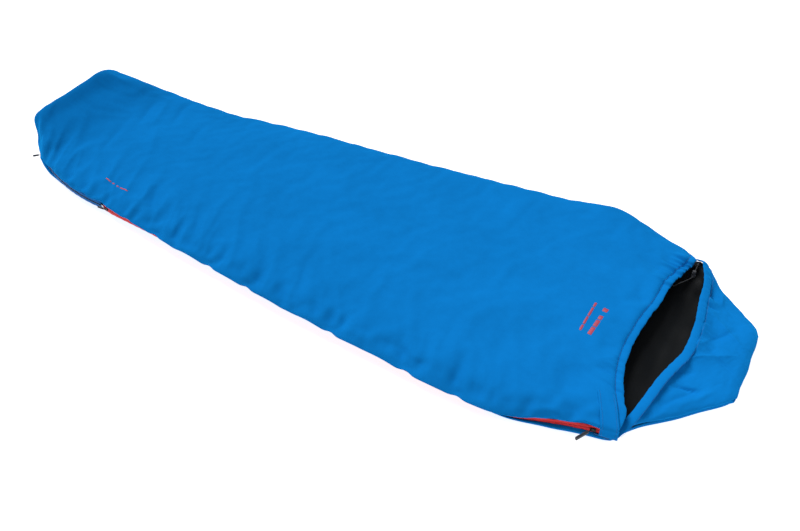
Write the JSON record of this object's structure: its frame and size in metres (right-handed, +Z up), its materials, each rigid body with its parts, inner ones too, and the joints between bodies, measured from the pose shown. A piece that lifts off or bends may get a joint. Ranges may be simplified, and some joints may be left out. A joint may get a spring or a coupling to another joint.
{
  "type": "mummy sleeping bag",
  "caption": "Hooded mummy sleeping bag lying flat, with a side zip that frees a fold-back flap, a raised foot end, a face opening with a drawcord hem, and a hood.",
  "frame": {"origin": "on the floor under the middle of the bag, half way along its length", "axes": "+X from the foot to the crown of the hood, +Y towards the long edge with no zip, +Z up"},
  "size_m": [2.2, 0.8009, 0.156],
  "materials": {
    "shell_fabric": "satin",
    "channel_fabric": "satin",
    "insulation": "matte",
    "lining": "matte",
    "side_tape": "matte",
    "foot_tape": "matte",
    "side_coil": "satin",
    "foot_coil": "satin",
    "slider_metal": "satin",
    "puller_cord": "matte",
    "drawcord": "matte",
    "lock_plastic": "matte",
    "spring_steel": "satin",
    "hook_and_loop": "matte"
  },
  "bodies": {
    "bag": {"bottom_shell": "shell_fabric", "bottom_insulation": "insulation", "bottom_lining": "lining", "top_shell": "shell_fabric", "top_insulation": "insulation", "top_lining": "lining", "foot_shell": "shell_fabric", "foot_insulation": "insulation", "foot_lining": "lining", "side_lower_zip_tape": "side_tape", "side_lower_zip_coil": "side_coil", "foot_lower_zip_tape": "foot_tape", "foot_lower_zip_coil": "foot_coil", "foot_upper_zip_tape": "foot_tape", "foot_upper_zip_coil": "foot_coil", "lower_head_stop": "slider_metal", "bottom_stop": "slider_metal", "tab_hook_patch": "hook_and_loop"},
    "flap": {"flap_shell": "shell_fabric", "flap_insulation": "insulation", "flap_lining": "lining", "side_upper_zip_tape": "side_tape", "side_upper_zip_coil": "side_coil", "upper_head_stop": "slider_metal", "hem_channel": "channel_fabric", "hem_cord": "drawcord", "hem_cord_end": "lock_plastic"},
    "garage_tab": {"garage_tab": "channel_fabric", "tab_loop_patch": "hook_and_loop"},
    "hood": {"hood_lower_shell": "shell_fabric", "hood_lower_insulation": "insulation", "hood_lower_lining": "lining", "hood_upper_shell": "shell_fabric", "hood_upper_insulation": "insulation", "hood_upper_lining": "lining", "hood_channel": "channel_fabric", "hood_cord": "drawcord"},
    "head_slider": {"head_slider": "slider_metal"},
    "head_puller": {"head_puller": "puller_cord"},
    "side_slider": {"side_slider": "slider_metal"},
    "side_puller": {"side_puller": "puller_cord"},
    "foot_slider": {"foot_slider": "slider_metal"},
    "foot_puller": {"foot_puller": "puller_cord"},
    "cord_lock": {"lock_barrel": "lock_plastic", "lock_spring": "spring_steel"},
    "lock_button": {"lock_button": "lock_plastic"}
  },
  "joints": [
    {"name": "flap_fold", "type": "hinge", "parent": "bag", "child": "flap", "pos_m": [0.0775, -0.001, 0.083], "axis": [-0.9416, -0.3368, 0], "range_deg": [0, 180]},
    {"name": "hood_fold", "type": "hinge", "parent": "bag", "child": "hood", "pos_m": [0.92, 0, 0.062], "axis": [0, -1, 0], "range_deg": [0, 90]},
    {"name": "garage_tab_lift", "type": "hinge", "parent": "flap", "child": "garage_tab", "pos_m": [0.8784, -0.26039, 0.07242], "axis": [-0.9921, -0.1254, -0.0092], "range_deg": [0, 160]},
    {"name": "head_slider_travel", "type": "hinge", "parent": "bag", "child": "head_slider", "pos_m": [0.24272, 4.68179, 0.0285], "axis": [0, 0, -1], "range_deg": [0, 17.01]},
    {"name": "head_puller_swing", "type": "hinge", "parent": "head_slider", "child": "head_puller", "pos_m": [0.8536, -0.35486, 0.0285], "axis": [0, 0, 1], "range_deg": [-50, 74]},
    {"name": "side_slider_travel", "type": "hinge", "parent": "bag", "child": "side_slider", "pos_m": [0.24272, 4.68179, 0.0285], "axis": [0, 0, 1], "range_deg": [0, 11.5]},
    {"name": "side_puller_swing", "type": "hinge", "parent": "side_slider", "child": "side_puller", "pos_m": [-0.67825, -0.30748, 0.0285], "axis": [0, 0, 1], "range_deg": [0, 156]},
    {"name": "foot_slider_travel", "type": "hinge", "parent": "bag", "child": "foot_slider", "pos_m": [-0.69968, 0.42588, 0.0285], "axis": [0, 0, 1], "range_deg": [0, 29.05]},
    {"name": "foot_puller_swing", "type": "hinge", "parent": "foot_slider", "child": "foot_puller", "pos_m": [-1.07769, -0.19769, 0.0285], "axis": [0, 0, 1], "range_deg": [-60, 80]},
    {"name": "cord_lock_slide", "type": "slide", "parent": "flap", "child": "cord_lock", "axis": [0, 1, 0], "range_m": [-0.004, 0.028]},
    {"name": "lock_button_press", "type": "slide", "parent": "cord_lock", "child": "lock_button", "axis": [0, 0, -1], "range_m": [0, 0.0015], "stiffness_N_per_m": 200, "springref_m": -0.004, "deforming": ["lock_spring"]}
  ]
}
